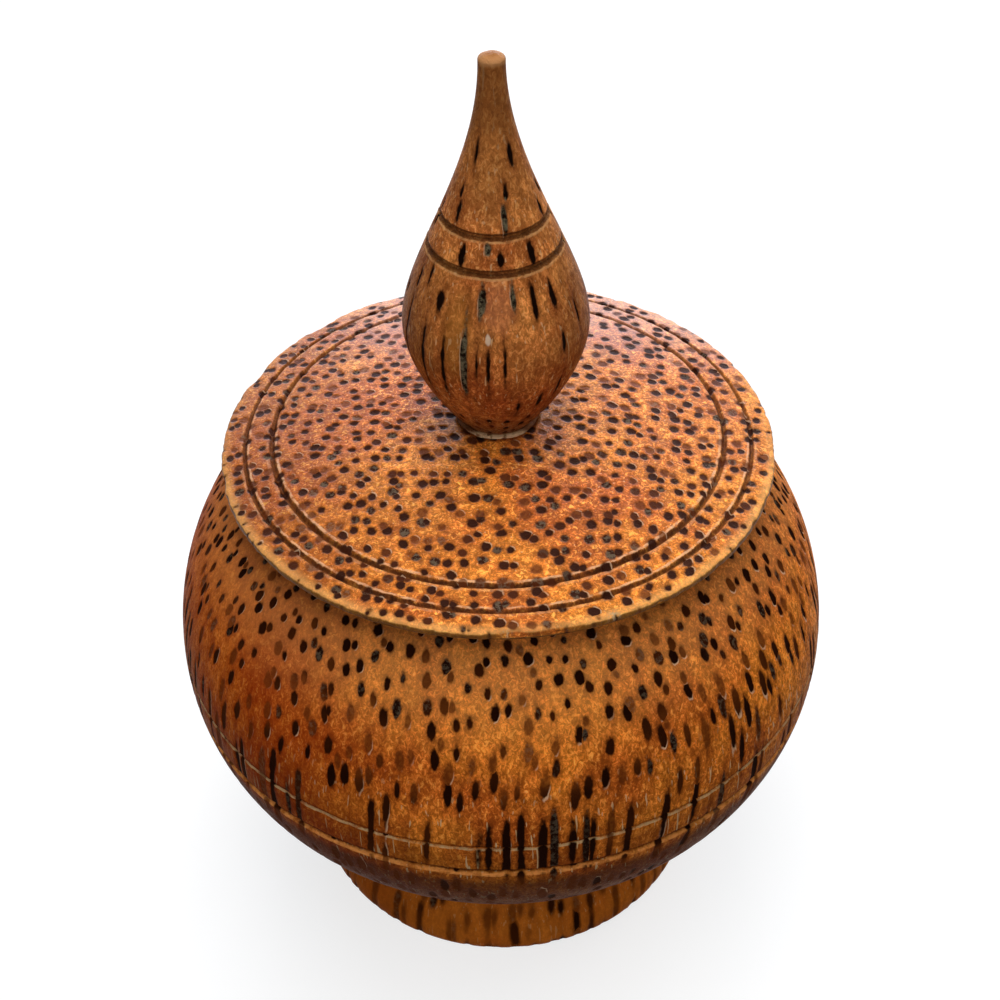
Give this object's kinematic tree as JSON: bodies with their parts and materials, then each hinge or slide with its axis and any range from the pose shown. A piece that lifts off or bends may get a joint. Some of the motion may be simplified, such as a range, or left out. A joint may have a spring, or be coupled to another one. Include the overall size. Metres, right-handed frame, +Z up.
{
  "type": "trinket box",
  "caption": "Turned palm wood trinket box: a round-bellied bowl on a low foot, with a lift-off flanged lid and a teardrop finial.",
  "frame": {"origin": "centre of the foot's flat underside", "axes": "+Z up along the turning axis, towards the finial's tip; X and Y are any two directions square to it"},
  "size_m": [0.0706, 0.0706, 0.101],
  "materials": {
    "bowl_wood": "waxed palm wood, satin, dark bundles run upright",
    "lid_wood": "waxed palm wood, satin, end grain dotted with dark bundles",
    "finial_wood": "waxed palm wood, satin, dark bundles as upright streaks",
    "dried_glue": "dried wood glue, pale and dull"
  },
  "bodies": {
    "bowl": {"bowl": "bowl_wood"},
    "lid": {"lid": "lid_wood", "finial": "finial_wood", "glue_bead": "dried_glue"}
  },
  "joints": [
    {"name": "lid_lift", "type": "slide", "parent": "bowl", "child": "lid", "axis": [0, 0, 1], "range_m": [0, 0.045]}
  ]
}
